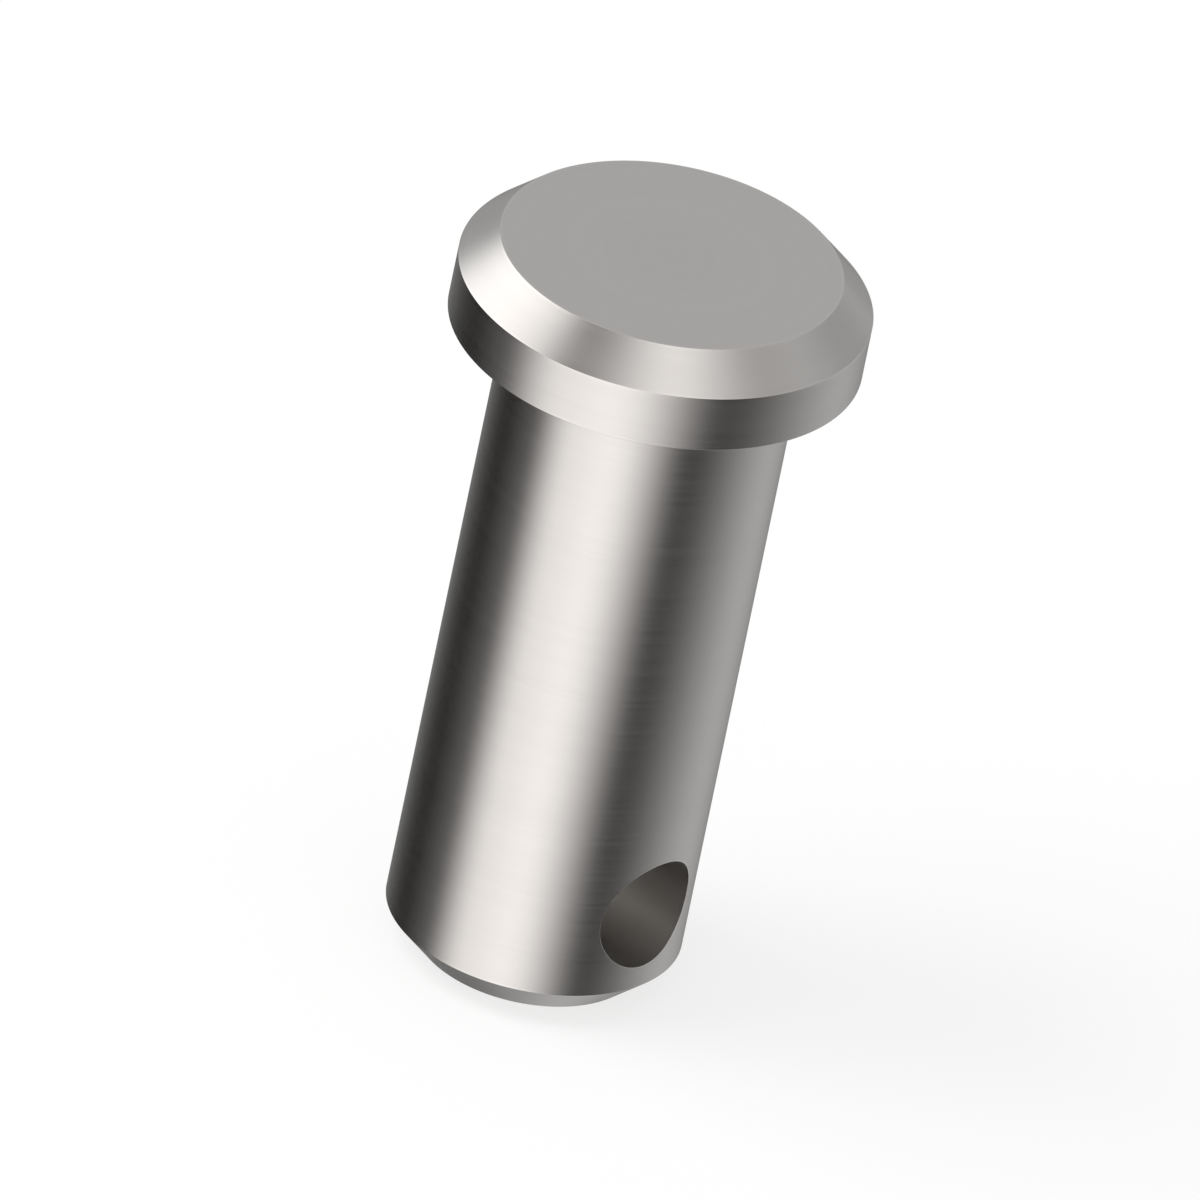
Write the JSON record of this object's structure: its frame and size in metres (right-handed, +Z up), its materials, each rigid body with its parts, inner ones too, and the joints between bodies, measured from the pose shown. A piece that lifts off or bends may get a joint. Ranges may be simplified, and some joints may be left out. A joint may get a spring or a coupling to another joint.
{
  "type": "headed clevis pin",
  "caption": "Turned steel pin with a flat chamfered head, a plain round shank, a chamfered end and a cross hole for a split pin; it joins a fork to a rod end.",
  "frame": {"origin": "centre of the end face at the foot of the shank, on the pin's axis", "axes": "+Z up the pin's axis from the end face to the head; +X along the cross hole"},
  "size_m": [0.0112, 0.0112, 0.0216],
  "materials": {
    "steel": "fine turned, satin"
  },
  "bodies": {
    "root": {"pin": "steel"}
  },
  "joints": []
}
